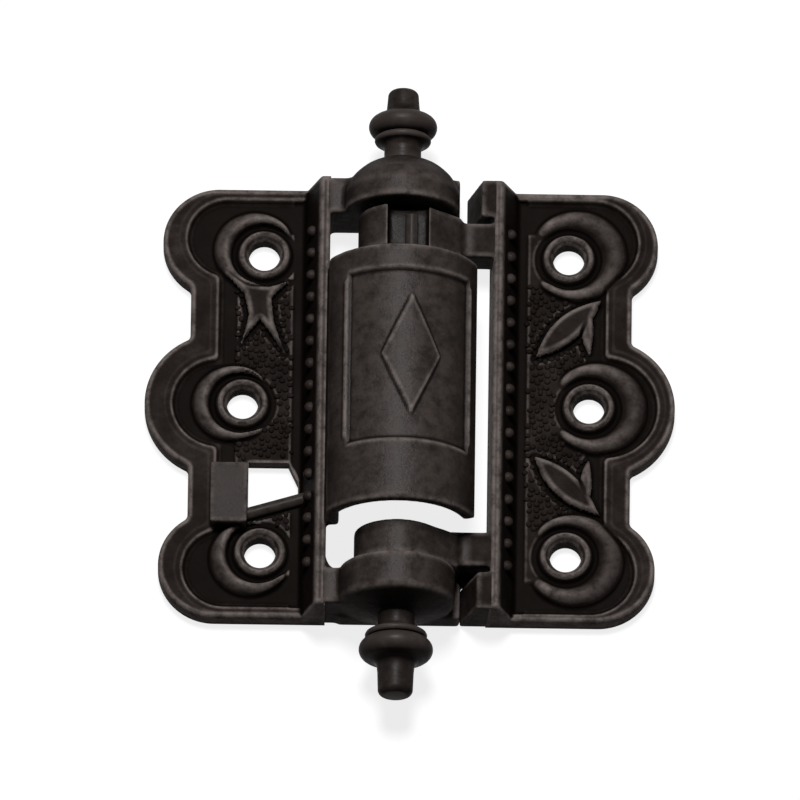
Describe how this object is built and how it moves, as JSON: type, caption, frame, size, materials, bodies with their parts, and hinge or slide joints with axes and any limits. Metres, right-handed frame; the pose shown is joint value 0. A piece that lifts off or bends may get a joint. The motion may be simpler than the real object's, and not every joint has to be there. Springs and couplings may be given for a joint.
{
  "type": "screen door spring hinge",
  "caption": "Self-closing surface hinge: two scalloped cast leaves with beaded ribs, a curved shield over a torsion spring, domed knuckles and turned finial pins.",
  "frame": {"origin": "centre of the open hinge's outline, on the back faces that lie against frame and door", "axes": "+Y along the pin toward the top finial, +X from the frame leaf to the door leaf, +Z out of the back toward the ornamented face"},
  "size_m": [0.0758, 0.093, 0.019],
  "materials": {
    "casting": "dark brown-black cast iron, satin",
    "pin_iron": "dark brown-black turned iron, satin",
    "spring_wire": "dark oiled spring wire"
  },
  "bodies": {
    "frame_side": {"frame_leaf": "casting", "top_pin": "pin_iron", "bottom_pin": "pin_iron", "spring": "spring_wire"},
    "door_side": {"door_leaf": "casting"}
  },
  "joints": [
    {"name": "leaf_swing", "type": "hinge", "parent": "frame_side", "child": "door_side", "pos_m": [-0.0015, 0, 0.0074], "axis": [0, -1, 0], "range_deg": [0, 150], "stiffness_Nm_per_rad": 0.3, "deforming": ["spring"]}
  ]
}
